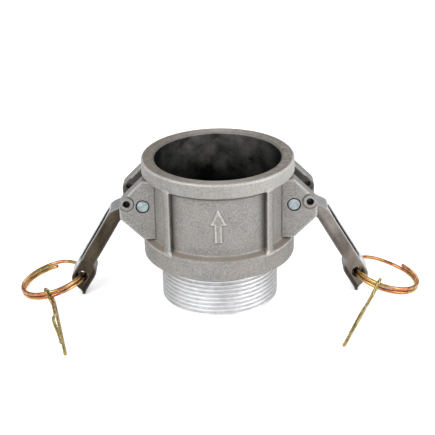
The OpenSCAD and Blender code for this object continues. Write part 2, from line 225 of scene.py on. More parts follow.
ARROW = np.array([[-1.57, 43.2], [1.57, 43.2], [1.57, 52.55], [3.57, 52.55], [0, 60.2], [-3.57, 52.55],
                  [-1.57, 52.55]])


def barrel_solid(x, y, z):
    """Barrel, band, mouth ring, ribs and raised flow arrow joined with small fillets, then the socket and
    the cam windows cut out."""
    r, ax, ay = np.hypot(x, y), np.abs(x), np.abs(y)
    skin = 0.05 * wavy(x, y, z, 9, 3) + 0.03 * wavy(x, y, z, 3.5, 8)
    whole = np.maximum(r - PANEL_R, np.maximum(BAND_Z + 2 - z, z - TOP_Z + 2)) + skin
    whole = blend_of(whole, outline_distance(r, z, BAND) - EDGE + skin * 0.7, 0.9)
    whole = blend_of(whole, outline_distance(r, z, MOUTH) - EDGE + skin * 0.5, 0.9)
    rib = np.maximum(r - OUTER_R + 0.05, np.abs(z - RIB_Z) - RIB_REACH)
    rib = both_of(np.abs(ax - RIB_X) - RIB_HALF, rib, 0.9) + skin * 0.6
    whole = blend_of(whole, np.where(ay > 10, rib, 9), 1.0)
    front = np.maximum(r - PANEL_R - 0.8, y + 20)
    whole = blend_of(whole, both_of(outline_distance(x, z, ARROW) - 0.1, front, 0.5), 0.4)
    whole = cut_of(whole, outline_distance(r, z, SOCKET_CUT), 0.4)
    window = np.maximum(np.abs(z - WINDOW_Z) - WINDOW_REACH, np.abs(ax - 38) - 12)
    return cut_of(whole, np.maximum(ay - WINDOW_HALF, window), 0.9)


def barrel_wear_and_light(points, marks):
    """Less wear and painted highlight on the ribs; more of both on the mouth ring's upper edge and,
    towards the sides, on the band's; and a painted shadow just under the mouth ring."""
    r, z, aside = np.hypot(points[:, 0], points[:, 1]), points[:, 2], np.abs(points[:, 0])
    rib = (np.abs(aside - RIB_X) < 2.3) & (z > BAND_TOP) & (z < MOUTH_Z)
    # Painted highlights, with wear, along the mouth ring's upper outer edge and the band's upper edge
    mouth_edge = 0.5 * np.exp(-((r - OUTER_R + 0.45) ** 2 + (z - TOP_Z + 0.45) ** 2) / 0.5)
    band_edge = np.exp(-((z - BAND_TOP + 2.0) / 0.35) ** 2) * (r > OUTER_R - 0.7)
    band_edge = 0.4 * np.clip((aside - 18) / 10, 0.3, 1) * band_edge
    marks["rim"] = np.maximum(np.maximum(marks["rim"] * np.where(rib, 0.3, 1), mouth_edge), band_edge)
    # Painted shadow on the panel just under the mouth ring's overhang
    wall = (r < PANEL_R + 0.8) * (r > BORE_R + 1) * (z < MOUTH_Z + 0.3)
    marks["corner"] = np.maximum(marks["corner"], 0.9 * np.clip((z - 64.9) / 0.9, 0, 1) * wall)


class Finish:
    """One material, and short ways to add nodes to it. Sizes of patterns are in millimetres, on the piece's
    own coordinates."""

    def __init__(self, name):
        self.mat = bpy.data.materials.new(name)
        self.mat.use_nodes = True
        self.tree = self.mat.node_tree
        self.shader = self.tree.nodes["Principled BSDF"]
        self.place = self.add("ShaderNodeTexCoord").outputs["Object"]

    def add(self, kind, **settings):
        """A new node with its settings."""
        node = self.tree.nodes.new(kind)
        for key, value in settings.items():
            setattr(node, key, value)
        return node

    def feed(self, socket, value):
        """Sets a socket to a number or a colour, or joins another node's output to it."""
        if isinstance(value, (int, float)):
            socket.default_value = value
        elif isinstance(value, tuple):
            socket.default_value = value + (1,)
        else:
            self.tree.links.new(value, socket)

    def noise(self, size, detail=3.0, rough=0.55, stretch=(1, 1, 1), warp=0.0):
        """Cloudy pattern with lumps of about size millimetres, stretched along an axis where stretch is
        under 1."""
        mapping = self.add("ShaderNodeMapping")
        mapping.inputs["Scale"].default_value = stretch
        self.feed(mapping.inputs["Vector"], self.place)
        node = self.add("ShaderNodeTexNoise")
        settings = {"Scale": 1000 / size, "Detail": detail, "Roughness": rough, "Distortion": warp}
        for key, value in settings.items():
            node.inputs[key].default_value = value
        self.feed(node.inputs["Vector"], mapping.outputs[0])
        return node.outputs["Fac"]

    def ramp(self, source, low, high, low_out=0.0, high_out=1.0):
        """Straight line from low_out at low to high_out at high, held beyond."""
        node = self.add("ShaderNodeMapRange")
        for key, value in (("From Min", low), ("From Max", high), ("To Min", low_out), ("To Max", high_out)):
            node.inputs[key].default_value = value
        self.feed(node.inputs["Value"], source)
        return node.outputs[0]

    def maths(self, how, a, b):
        """One step of arithmetic on two values, each a number or another node's output."""
        node = self.add("ShaderNodeMath", operation=how)
        self.feed(node.inputs[0], a)
        self.feed(node.inputs[1], b)
        return node.outputs[0]

    def plus(self, a, b):
        """The sum of two values."""
        return self.maths("ADD", a, b)

    def times(self, a, b):
        """The product of two values."""
        return self.maths("MULTIPLY", a, b)

    def tint(self, factor, a, b):
        """Colour a where factor is 0 and colour b where it is 1; each is a colour or another node's
        output."""
        node = self.add("ShaderNodeMix", data_type="RGBA")
        for socket, value in ((node.inputs[0], factor), (node.inputs[6], a), (node.inputs[7], b)):
            self.feed(socket, value)
        return node.outputs[2]

    def spectrum(self, source, stops):
        """Colours along a scale from 0 to 1."""
        node = self.add("ShaderNodeValToRGB")
        while len(node.color_ramp.elements) < len(stops):
            node.color_ramp.elements.new(0.5)
        for element, (at, colour) in zip(node.color_ramp.elements, stops):
            element.position, element.color = at, colour + (1,)
        self.feed(node.inputs[0], source)
        return node.outputs[0]

    def mark(self, name):
        """One of the piece's own marks, worked out with its mesh."""
        return self.add("ShaderNodeAttribute", attribute_name=name).outputs["Fac"]

    def split(self, vector):
        """The X, Y and Z of a vector."""
        node = self.add("ShaderNodeSeparateXYZ")
        self.feed(node.inputs[0], vector)
        return node.outputs

    def relief(self, height, depth, strength, under=None):
        """Bump of depth millimetres from a height between 0 and 1, on top of the relief under it if any."""
        node = self.add("ShaderNodeBump")
        node.inputs["Strength"].default_value = strength
        node.inputs["Distance"].default_value = depth / 1000
        self.feed(node.inputs["Height"], height)
        if under is not None:
            self.feed(node.inputs["Normal"], under)
        return node.outputs[0]

    def done(self, colour, rough, metal, relief=None):
        """Feeds the shader and gives back the material."""
        self.feed(self.shader.inputs["Base Color"], colour)
        self.feed(self.shader.inputs["Roughness"], rough)
        self.feed(self.shader.inputs["Metallic"], metal)
        if relief is not None:
            self.feed(self.shader.inputs["Normal"], relief)
        return self.mat


def blasted_casting():
    """Shot-blasted aluminium: fine pits and bright specks, larger pale and grey clouds, warm stains and
    dust, painted shade with grime in the corners, rims with wear and painted highlights, a painted
    highlight on the mouth ring's right side, a tarnished mouth face thinned towards front and back as
    painted light, and a socket in painted shade that blackens with depth, with scuffs and painted light
    on its back wall."""
    m = Finish("blasted_cast_aluminium")
    x, y, z = m.split(m.place)
    aside = m.maths("ABSOLUTE", x, 0)
    radius = m.maths("POWER", m.plus(m.times(x, x), m.times(y, y)), 0.5)
    up = m.ramp(m.split(m.add("ShaderNodeNewGeometry").outputs["Normal"])[2], 0.45, 0.9)

    # Blasted skin with pale clouds and warm stains
    grain = m.noise(0.55, 2, 0.6)
    colour = m.tint(m.ramp(grain, 0.36, 0.66), CAST_GREY, CAST_PALE)
    colour = m.tint(m.ramp(m.noise(9, 4, 0.6), 0.42, 0.68, 0, 0.35), colour, CAST_PALE)
    colour = m.tint(m.ramp(m.noise(16, 3, 0.6), 0.50, 0.72, 0, 0.22), colour, CAST_WARM)

    # Dust on what faces up: the ledge, a little less in front, and the mouth
    level = m.maths("MAXIMUM", m.ramp(z, 0.038, 0.041, 1, 0.1), m.ramp(z, 0.072, 0.074))
    level = m.times(level, m.ramp(aside, 0.022, 0.028, 0.75, 1))
    dust = m.times(up, m.ramp(m.noise(3.0, 4, 0.7), 0.25, 0.7, 0.4, 0.85))
    colour = m.tint(m.times(dust, level), colour, CAST_WARM)

    # Mouth ring: a painted highlight towards the right; its tarnished face, thinned towards front and back
    # as painted light
    pale = m.times(m.ramp(z, 0.0668, 0.0682), m.ramp(x, -0.030, 0.034, 0, 0.32))
    colour = m.tint(pale, colour, RIM_WEAR_AND_HIGHLIGHT)
    face = m.times(m.times(up, m.ramp(z, 0.0742, 0.0746)), m.ramp(m.noise(2.6, 4, 0.7), 0.3, 0.62, 0.55, 1))
    # Less tarnish towards front and back: painted light on the flat face
    colour = m.tint(m.times(face, m.ramp(aside, 0.002, 0.026, 0.45, 1)), colour, MOUTH_TARNISH)

    # Painted shade with grime in the corners; bright specks on the rims, part wear, part painted highlight
    colour = m.tint(m.ramp(m.mark("corner"), 0.10, 0.75, 0, 0.72), colour, GRIME_AND_SHADE)
    rim_wear_and_highlight = m.times(m.ramp(m.mark("rim"), 0.08, 0.42), m.ramp(grain, 0.35, 0.6, 0.35, 0.9))
    colour = m.tint(rim_wear_and_highlight, colour, RIM_WEAR_AND_HIGHLIGHT)

    # Socket wall in painted shade: black below, dark near the mouth, with scuffs and painted light on the
    # back wall
    socket = m.times(m.ramp(radius, 0.0322, 0.0326, 1, 0), m.ramp(z, 0.0738, 0.0748, 1, 0))
    scuffs = m.times(m.ramp(m.noise(11, 5, 0.62), 0.34, 0.76), m.ramp(y, 0.008, 0.031))
    wall = m.tint(m.ramp(z, 0.048, 0.068), SOCKET_BLACK, m.tint(scuffs, SOCKET_DARK, SOCKET_SCUFF_AND_LIGHT))
    colour = m.tint(socket, colour, wall)
    m.feed(m.shader.inputs["Specular IOR Level"], m.ramp(socket, 0, 1, 0.5, 0.08))

    # Painted shade inside the holes
    colour = m.tint(m.mark("soot"), colour, HOLE_SHADE_BLACK)
    bump = m.relief(grain, 0.07, 0.8, m.relief(m.noise(0.9, 3, 0.7, warp=0.3), 0.12, 0.7))
    return m.done(colour, m.ramp(m.noise(1.4, 3), 0.3, 0.7, 0.52, 0.68), 0.55, bump)


cast_finish = blasted_casting()
barrel, barrel_faces, barrel_marks = skin_of(barrel_solid, (-40, -40, 23.2), (40, 40, 76), 0.55)
barrel_wear_and_light(barrel, barrel_marks)

# ---- Ears -----------------------------------------------------------------
# Two pairs of flat ears cast on the barrel's sides. Each has the pin hole with
# a countersink, and a safety-clip hole in a small round pad.

PIN_X, PIN_Z = hinge["right_arm_hinge"][0], hinge["right_arm_hinge"][2]
EAR_Y, EAR_HALF, EAR_REACH = 11.2, 4.05, 11.6
SAFE_X, SAFE_Z, SAFE_R = PIN_X + 7.9, PIN_Z + 1.6, 1.6
PAD_R, PAD_RISE, PAD_GROOVE_R = 3.45, 0.36, 3.6
PIN_HOLE_R, COUNTERSINK_R = 3.22, 3.40


def fillet(a, b, c, radius, n=6):
    """Corners of the arc that rounds corner b of the path a-b-c."""
    a, b, c = np.array(a, float), np.array(b, float), np.array(c, float)
    u, v = (a - b) / np.linalg.norm(a - b), (c - b) / np.linalg.norm(c - b)
    half = math.acos(u @ v) / 2
    middle = b + (u + v) / np.linalg.norm(u + v) * radius / math.sin(half)
    s, e = b + u * radius / math.tan(half) - middle, b + v * radius / math.tan(half) - middle
    start, end = math.atan2(s[1], s[0]), math.atan2(e[1], e[0])
    sweep = (end - start + 3 * math.pi) % (2 * math.pi) - math.pi
    t = start + sweep * np.linspace(0, 1, n)
    return middle + radius * np.stack([np.cos(t), np.sin(t)], 1)


def ear_outline():
    """Front view of a right-hand ear: upright inner end, sloping shoulders and a short upright outer
    edge."""
    inner, shoulder, reach, middle = 30, PIN_X + 0.2, PIN_X + EAR_REACH, PIN_Z - 2.3
    a, b, c = (inner, MOUTH_Z), (shoulder, MOUTH_Z), (reach, middle + 4.3)
    d, e, f = (reach, middle - 4.3), (shoulder, BAND_TOP), (inner, BAND_TOP)
    return np.concatenate([[f, a], fillet(a, b, c, 1.5), fillet(b, c, d, 5), fillet(c, d, e, 2.4),
                           fillet(d, e, f, 1.5)])


EAR = ear_outline()


def ear_solid(x, y, z):
    """The ear's outline between its two faces, with a round pad and its groove on the outer face, kept
    outside the socket wall's middle, less its two holes."""
    ax, ay, outer = np.abs(x), np.abs(y), EAR_Y + EAR_HALF
    skin = 0.04 * wavy(x, y, z, 7, 12) + 0.025 * wavy(x, y, z, 3, 5)
    side = outline_distance(ax, z, EAR)
    safe, pin = np.hypot(ax - SAFE_X, z - SAFE_Z), np.hypot(ax - PIN_X, z - PIN_Z)
    whole = both_of(side + skin * 0.5, np.abs(ay - EAR_Y) - EAR_HALF + skin * 0.6, 1.0)
    groove = np.maximum(np.abs(safe - PAD_GROOVE_R) - 0.05, 0)
    whole = cut_of(whole, np.hypot(groove, np.maximum(outer + 0.1 - ay, 0)) - 0.28, 0.1)
    pad = np.maximum(safe - PAD_R, side + 0.25)
    pad = both_of(pad, np.maximum(ay - outer - PAD_RISE, EAR_Y - ay), 0.4)
    whole = np.maximum(blend_of(whole, pad, 0.05), 33.3 - np.hypot(x, y))
    pin_hole = np.minimum(pin - PIN_HOLE_R, np.maximum(pin - COUNTERSINK_R, outer - 1.0 - ay))
    return cut_of(cut_of(whole, pin_hole, 0.25), safe - SAFE_R, 0.3)


def ear_shade_and_wear(points, marks):
    """Painted shade inside the two holes, little wear round them, painted shade with grime where the ear
    meets the barrel, and painted shade all over its inner face."""
    ax, ay, z = np.abs(points[:, 0]), np.abs(points[:, 1]), points[:, 2]
    safe, pin = np.hypot(ax - SAFE_X, z - SAFE_Z), np.hypot(ax - PIN_X, z - PIN_Z)
    hole = np.minimum(safe - SAFE_R - 0.15, pin - COUNTERSINK_R + 0.05)
    # Painted shade inside the two holes
    marks["soot"] = np.clip(1 - hole / 0.25, 0, 1) * (ay > EAR_Y - EAR_HALF + 0.35)
    marks["rim"] *= np.where((safe < 4.4) | (pin < 4.6), 0.3, 1)
    # Painted shade with grime where the ear meets the barrel, and painted shade on the inner face between
    # the ears
    joint = np.clip(0.9 - barrel_solid(*points.T) / 0.6, 0, 0.9)
    inner_face = 0.85 * np.clip((EAR_Y - EAR_HALF + 0.5 - ay) / 0.4, 0, 1)
    marks["corner"] = np.maximum(np.maximum(marks["corner"], joint), inner_face)


# The barrel is finished here, because painted shade with grime also lies on it where the ears meet it
joint = np.clip(0.9 - ear_solid(*barrel.T) / 0.9, 0, 0.9)
barrel_marks["corner"] = np.maximum(barrel_marks["corner"], joint)
piece_of("coupler_casting", barrel, barrel_faces, cast_finish, "coupler", "coupler_body",
         barrel_marks)

ears, count = [], 0
for sx in (1, -1):
    for sy in (1, -1):
        (x0, x1), (y0, y1) = sorted((sx * 30.2, sx * 50)), sorted((sy * 6.3, sy * 16.4))
        points, faces, marks = skin_of(ear_solid, (x0, y0, 35.2), (x1, y1, 68.2), 0.31, 0.7)
        ear_shade_and_wear(points, marks)
        ears.append((points, faces + count, marks))
        count += len(points)
marks = {key: np.concatenate([ear[2][key] for ear in ears]) for key in ("corner", "rim", "soot")}
piece_of("coupler_ears", np.concatenate([ear[0] for ear in ears]), np.concatenate([ear[1] for ear in ears]),
         cast_finish, "coupler", None, marks)

# ---- Thread tail ----------------------------------------------------------
# The lower end of the same casting, turned in a lathe: a parallel pipe thread
# of 11 threads to the inch with rounded crests and roots, bright from the tool.

THREAD_R, THREAD_DEPTH, PITCH, TAIL_TOP = 29.8, 1.4, 2.309, 24.6
TURNED_BRIGHT, TURNED_DULL = (0.70, 0.70, 0.705), (0.59, 0.59, 0.60)


def grid_faces(rows, around, closed=False):
    """Four-sided faces between neighbouring rows of points; each row closes on itself, and the last row
    joins the first where closed is true."""
    i, j = np.meshgrid(np.arange(rows if closed else rows - 1), np.arange(around), indexing="ij")
    k, l = (i + 1) % rows, (j + 1) % around
    return np.stack([i * around + j, k * around + j, k * around + l, i * around + l], -1).reshape(-1, 4)


def thread_tail(around=288, along=170):
    """Closed sleeve. Outside, the radius is the root plus the depth times a rounded saw of height less one
    pitch a turn; it starts at a chamfer and fades into a plain neck below the band. The end face and the
    bore close the loop."""
    a = np.linspace(0, 2 * math.pi, around, endpoint=False)
    z, a_all = np.meshgrid(np.linspace(0.12, TAIL_TOP, along), a, indexing="ij")
    phase = (z / PITCH - a_all / (2 * math.pi)) % 1
    tooth = np.clip((1 - np.abs(2 * phase - 1)) * 1.36 - 0.18, 0, 1)
    tooth = tooth * tooth * (3 - 2 * tooth) * 0.35 + tooth * 0.65
    outer = THREAD_R - THREAD_DEPTH + THREAD_DEPTH * tooth * np.clip((22.9 - z) / 1.6, 0, 1)
    outer = np.minimum(np.maximum(outer, 29.75 - z * 1.4), 29.65 + z * 1.0)
    end = np.array([[29.70, 0.04], [29.60, 0], [26.6, 0], [TAIL_BORE + 0.6, 0], [TAIL_BORE, 0.6],
                    [TAIL_BORE, TAIL_TOP]])
    r = np.vstack([outer[::-1], end[:, :1] * np.ones(around)])
    h = np.vstack([z[::-1], end[:, 1:] * np.ones(around)])
    return np.stack([r * np.cos(a), r * np.sin(a), h], -1).reshape(-1, 3), grid_faces(len(r), around, True)


def turned_aluminium():
    """Bright turned aluminium: fine tool lines round the axis, small handling marks and a little dull oxide
    in patches."""
    m = Finish("turned_aluminium")
    tool_lines = m.noise(0.9, 2, 0.5, stretch=(0.05, 0.05, 4))
    colour = m.tint(m.ramp(m.noise(3.0, 4, 0.6), 0.42, 0.70), TURNED_BRIGHT, TURNED_DULL)
    return m.done(colour, m.ramp(m.noise(5, 2), 0.3, 0.7, 0.46, 0.54), 1.0, m.relief(tool_lines, 0.006, 0.5))


points, faces = thread_tail()
piece_of("thread_tail", points, faces, turned_aluminium(), "coupler")

# ---- Gasket ---------------------------------------------------------------
# A moulded nitrile ring snapped into the groove at the bottom of the socket.
# Its edges are rounded by the mould.

GASKET_IN, GASKET_OUT, GASKET_LOW, GASKET_TOP, GASKET_EDGE = 25.4, 33.35, 27.5, 33.85, 0.7
NITRILE, NITRILE_BLOOM = (0.012, 0.012, 0.013), (0.035, 0.034, 0.033)


def gasket_ring(around=192):
    """A rectangle of radius and height with rounded corners, carried round the axis."""
    inner, outer = GASKET_IN + GASKET_EDGE, GASKET_OUT - GASKET_EDGE
    low, top = GASKET_LOW + GASKET_EDGE, GASKET_TOP - GASKET_EDGE
    corners = ((outer, low, -90), (outer, top, 0), (inner, top, 90), (inner, low, 180))
    profile = np.concatenate([quarter(r, z, GASKET_EDGE, start, 6) for r, z, start in corners])
    a = np.linspace(0, 2 * math.pi, around, endpoint=False)
    r, h = profile[:, :1], profile[:, 1:] * np.ones(around)
    grid = np.stack([r * np.cos(a), r * np.sin(a), h], -1).reshape(-1, 3)
    return grid, grid_faces(len(profile), around, True)[:, [0, 3, 2, 1]]


def moulded_rubber():
    """Black nitrile with a dull bloom and a faint moulding texture."""
    m = Finish("nitrile_rubber")
    colour = m.tint(m.ramp(m.noise(4, 4), 0.4, 0.7, 0, 0.6), NITRILE, NITRILE_BLOOM)
    bump = m.relief(m.noise(0.35, 3), 0.03, 0.6)
    return m.done(colour, m.ramp(m.noise(2, 3), 0.3, 0.7, 0.5, 0.72), 0.0, bump)


points, faces = gasket_ring()
piece_of("face_gasket", points, faces, moulded_rubber(), "coupler", "gasket")

# ---- Pivot pins -----------------------------------------------------------
# Ground steel pins with a clear zinc plate, pressed through both ears of a
# pair, with chamfered ends that stand just inside the ear's face.

PIN_R, PIN_HALF, CHAMFER_R, CHAMFER_Y = 3.175, 15.1, 0.4, 0.7
# The last colour is painted shade on the pins' chamfers
ZINC_GREY, ZINC_PALE, PIN_CHAMFER_SHADE = (0.22, 0.26, 0.28), (0.42, 0.48, 0.50), (0.015, 0.014, 0.013)


def tube_faces(rows, around):
    """Triangles of a tube of rows of points, closed at each end by a fan to one point. The two fans' points
    follow the rows'."""
    quads = grid_faces(rows, around)
    j, last = np.arange(around), (rows - 1) * around
    l = (j + 1) % around
    top = np.stack([np.full(around, rows * around), j, l], 1)
    bottom = np.stack([np.full(around, rows * around + 1), last + l, last + j], 1)
    return np.concatenate([quads[:, [0, 1, 2]], quads[:, [0, 2, 3]], top, bottom])


def pin_mesh(x, around=64):
    """A line of radius and height, from a slightly domed end over a chamfer to the plain shank and the
    other end, carried round the Y axis."""
    t = np.radians(np.linspace(0, 90, 7))
    chamfer = np.stack([PIN_R - CHAMFER_R + CHAMFER_R * np.sin(t),
                        PIN_HALF - 0.12 - CHAMFER_Y + CHAMFER_Y * np.cos(t)], 1)
    end = np.vstack([[[0.9, PIN_HALF - 0.01], [1.8, PIN_HALF - 0.05]], chamfer])
    shank = np.array([[PIN_R, y] for y in np.linspace(PIN_HALF - 0.95, -PIN_HALF + 0.95, 9)])
    line = np.vstack([end, shank, end[::-1] * [1, -1]])
    a = np.linspace(0, 2 * math.pi, around, endpoint=False)
    grid = np.stack([line[:, :1] * np.sin(a), line[:, 1:] * np.ones(around), line[:, :1] * np.cos(a)], -1)
    points = np.vstack([grid.reshape(-1, 3), [[0, PIN_HALF, 0], [0, -PIN_HALF, 0]]])
    return points + np.array([x, 0, PIN_Z]), tube_faces(len(line), around)


def zinc_plate():
    """Clear zinc over steel: pale and slightly blue, with soft spangle, small dull scuffs and painted shade
    round the chamfer."""
    m = Finish("clear_zinc_plate")
    colour = m.tint(m.ramp(m.noise(1.3, 3, 0.6), 0.38, 0.68), ZINC_GREY, ZINC_PALE)
    # Painted shade on the chamfer
    colour = m.tint(m.mark("edge"), colour, PIN_CHAMFER_SHADE)
    bump = m.relief(m.noise(0.9, 3), 0.06, 0.7)
    return m.done(colour, m.ramp(m.noise(0.7, 3), 0.3, 0.7, 0.40, 0.58), 0.6, bump)


zinc = zinc_plate()
for side, x in (("left", -PIN_X), ("right", PIN_X)):
    points, faces = pin_mesh(x)
    off_axis = np.hypot(points[:, 0] - x, points[:, 2] - PIN_Z)
    # Painted shade on the chamfer at each end
    edge = np.clip((off_axis - 2.76) / 0.15, 0, 1) * (np.abs(points[:, 1]) > PIN_HALF - 1)
    piece_of(side + "_pin", points, faces, zinc, "coupler", side + "_pivot_pin", {"edge": edge})

# ---- Cam arms -------------------------------------------------------------
# Investment-cast stainless arms. Each turns on its pin, carries a cam lobe
# that holds the adapter, and has a hollow down its outer face and a ring hole.

# From the pin, u is across the arm and w along it. REST is how far it leans out in the pose shown.
HOLE_U, HOLE_W, HOLE_R, INNER_U = 7.4, 54.0, 2.66, 4.9
ARM_HALF, ARM_TAPER, REST = 6.8, 1.2, math.radians(30)
HOLLOW_W, HOLLOW_REACH, HOLLOW_R = 32.4, 12.3, 4.6
# Oxide with painted shade and painted dark reflection; pale rims; wear with a painted highlight on the outer
# face
ARM_OXIDE_AND_SHADE, ARM_RIM, ARM_WEAR_AND_HIGHLIGHT = (0.018, 0.014, 0.011), (0.42, 0.41, 0.40), (0.60, 0.605, 0.62)
# Both arms are one steel: the right arm's copy is paler as painted light, the left arm's darker as painted
# shade
RIGHT_STEEL_LIT = ((0.13, 0.112, 0.098), (0.26, 0.235, 0.215), (0.07, 0.06, 0.052))
LEFT_STEEL_SHADED = ((0.034, 0.025, 0.017), (0.078, 0.060, 0.041), (0.018, 0.013, 0.009))


def arm_outline():
    """Side view of the arm when closed, outwards and down from the pin and back up: round eye, neck,
    straight back, rounded end, toe, heel, inner face and cam lobe."""
    def arc(radius, start, end, n, fall=0.0):
        t = np.linspace(0, 1, n)
        r, a = radius - fall * t, np.radians(start + (end - start) * t)
        return np.stack([r * np.cos(a), r * np.sin(a)], 1)

    neck = [[5.1, 3.4], [5.7, 5.4], [6.9, 7.2], [10.6, 12.4], [11.7, 14.4]]
    back = [[11.95, 17], [12.0, 30], [12.35, 50], [12.35, 55.6]]
    end = [[12.1, 57.0], [11.4, 58.4], [10.3, 59.6], [8.8, 60.5], [6.6, 61.2], [4.6, 61.7]]
    toe = [[3.3, 62.4], [2.9, 63.3], [2.4, 63.5], [1.5, 63.1], [1.35, 62.4], [1.75, 60.6]]
    heel = [[1.7, 57], [1.55, 52], [1.7, 49.8], [2.3, 48.2], [3.4, 46.8], [4.6, 45.6], [4.95, 44.9]]
    inner = [[4.85, 36], [INNER_U, 17], [INNER_U - 0.4, 13], [INNER_U - 1.9, 9.6]]
    lobe = [arc(8.06, 98, 144, 8, -1.54), arc(9.35, 150, 184, 5, 3.2), arc(5.1, 192, 232, 5)]
    return np.concatenate([arc(5.4, 240, 360, 13), neck, back, end, toe, heel, inner] + lobe)


ARM_OUTLINE = arm_outline()


def arm_half(w):
    """Half the arm's thickness: full at the eye, drawn in evenly by the casting's taper down to the end."""
    return ARM_HALF - ARM_TAPER * np.clip((w - 13) / 34, 0, 1)


def arm_solid(u, y, w):
    """The outline between its two sides with soft edges, less the hollow, a shallow bed along each side,
    the flares of the ring hole and the two holes."""
    ay, side = np.abs(y), outline_distance(u, w, ARM_OUTLINE)
    hole = np.hypot(u - HOLE_U, w - HOLE_W)
    body = both_of(side, ay - arm_half(w), 0.8) + 0.02 * wavy(u, y, w, 6, 5)
    hollow = np.hypot(y, np.maximum(np.abs(w - HOLLOW_W) - HOLLOW_REACH, 0)) - HOLLOW_R
    body = cut_of(body, both_of(hollow, 9.4 - u, 0.8), 0.5)
    bed = both_of(both_of(side + 1.6, 9.0 - hole, 4.0), 12 - w, 4)
    near_side = np.clip((ay - arm_half(w) + 1.5) / 1.5, 0, 1)
    body = body + 0.18 * np.clip(-bed / 2.2, 0, 1) * near_side
    out = (ay - 3.2) / 3.6
    flare = np.hypot(u - HOLE_U - 1.2 * out, w - HOLE_W - 0.8 * out) - 2.1 - 1.3 * out
    body = cut_of(body, np.maximum(flare, 3.0 - ay), 0.8)
    return cut_of(cut_of(body, np.hypot(u, w) - 3.24, 0.3), hole - HOLE_R, 0.5)


def arm_shade_and_wear(points, marks):
    """Painted shade in the ring hole and the hollow, a paler outer face with wear and a painted highlight,
    and a painted dark reflection along the inner edge and on the heel."""
    u, y, w = points.T
    hole = np.clip(1 - (np.hypot(u - HOLE_U, w - HOLE_W) - HOLE_R) / 0.2, 0, 1)
    hollow = (u > 9.1) * (np.abs(y) < HOLLOW_R + 0.12) * (np.abs(w - HOLLOW_W) < HOLLOW_REACH + 4.9)
    # Painted shade in the ring hole and the hollow
    marks["soot"] = np.maximum(hole, 0.9 * np.clip((11.5 - u) / 0.8, 0, 1) * hollow)
    # Painted dark reflection along the inner edge near the neck and on the heel
    edge = 0.34 * np.clip((8.8 - u) / 2.5, 0, 1) * np.clip((46 - w) / 16, 0, 1)
    heel = 0.55 * np.clip((4.3 - u) / 0.6, 0, 1) * (w > 44)
    marks["corner"] = np.maximum(marks["corner"], np.maximum(edge, heel))
    # Paler outer face: wear and a painted highlight
    outer = np.clip((u - 11.4 + 0.9 * np.maximum(0, 15 - w)) / 0.5, 0, 1)
    marks["outside"] = 0.8 * outer * np.clip((arm_half(w) - 0.15 - np.abs(y)) / 0.3, 0, 1) * (w > 7)


def tumbled_stainless(name, brown, pale, dark):
    """Cast stainless after tumbling: brownish oxide and painted shade in the hollows, painted dark
    reflection along the inner edge and heel, paler rims with wear, a paler outer face that is partly a
    painted highlight, painted shade in the holes, long faint streaks and a fine orange-peel skin."""
    m = Finish(name)
    colour = m.tint(m.ramp(m.noise(9, 3, 0.55, stretch=(1, 1, 0.5)), 0.36, 0.66), brown, pale)
    colour = m.tint(m.ramp(m.noise(0.8, 4, 0.7), 0.46, 0.74, 0, 0.45), colour, dark)
    # Oxide and painted shade in the hollows, painted dark reflection on the inner edge and heel
    colour = m.tint(m.ramp(m.mark("corner"), 0.08, 0.5, 0, 0.8), colour, ARM_OXIDE_AND_SHADE)
    colour = m.tint(m.ramp(m.mark("rim"), 0.15, 0.5, 0, 0.6), colour, ARM_RIM)
    # Outer face: wear and a painted highlight
    colour = m.tint(m.mark("outside"), colour, ARM_WEAR_AND_HIGHLIGHT)
    # Painted shade in the ring hole and the hollow
    colour = m.tint(m.mark("soot"), colour, HOLE_SHADE_BLACK)
    peel = m.relief(m.noise(0.7, 3, 0.6), 0.03, 0.6, m.relief(m.noise(2.6, 2), 0.05, 0.5))
    return m.done(colour, m.ramp(m.noise(2, 3), 0.3, 0.7, 0.30, 0.46), 0.9, peel)


points, faces, marks = skin_of(arm_solid, (-11, -7.6, -6.4), (14, 7.6, 64.6), 0.33, 0.5)
arm_shade_and_wear(points, marks)
u, y, w = points.T
x = PIN_X + u * math.cos(REST) + w * math.sin(REST)
z = PIN_Z + u * math.sin(REST) - w * math.cos(REST)
for side, out, steel in (("right", 1, RIGHT_STEEL_LIT), ("left", -1, LEFT_STEEL_SHADED)):
    piece_of(side + "_arm", np.stack([out * x, y, z], 1), faces[:, ::-out],
             tumbled_stainless("tumbled_stainless_" + side, *steel), side + "_arm",
             side + "_cam_arm", marks)

# ---- Pull rings -----------------------------------------------------------
# Split rings of yellow-chromated steel wire, wound about one and two thirds
# turns and threaded through the hole at the end of each arm.

RING_R, RING_WIRE, RING_PITCH, RING_TURNS = 16.8, 1.0, 2.12, 1.68
RING_SAG = RING_R - math.sqrt(RING_R ** 2 - ARM_HALF ** 2)
RING_AT_X, RING_AT_Z = hinge["right_ring_swing"][0], hinge["right_ring_swing"][2]
RING_SLOPE = math.asin((RING_AT_Z - RING_PITCH / 2 - RING_WIRE - 0.3) / (2 * RING_R - RING_SAG / 2))
WIRE_SHARE = 0.94  # round wires are drawn this much thinner, to stay inside the box of eight-sided ones
RING_HUES = [(0.20, (0.15, 0.20, 0.04)), (0.36, (0.40, 0.24, 0.06)), (0.48, (0.54, 0.34, 0.14)),
             (0.58, (0.46, 0.12, 0.07)), (0.68, (0.44, 0.27, 0.08)), (0.82, (0.18, 0.24, 0.07))]
RING_DULL = (0.14, 0.07, 0.03)


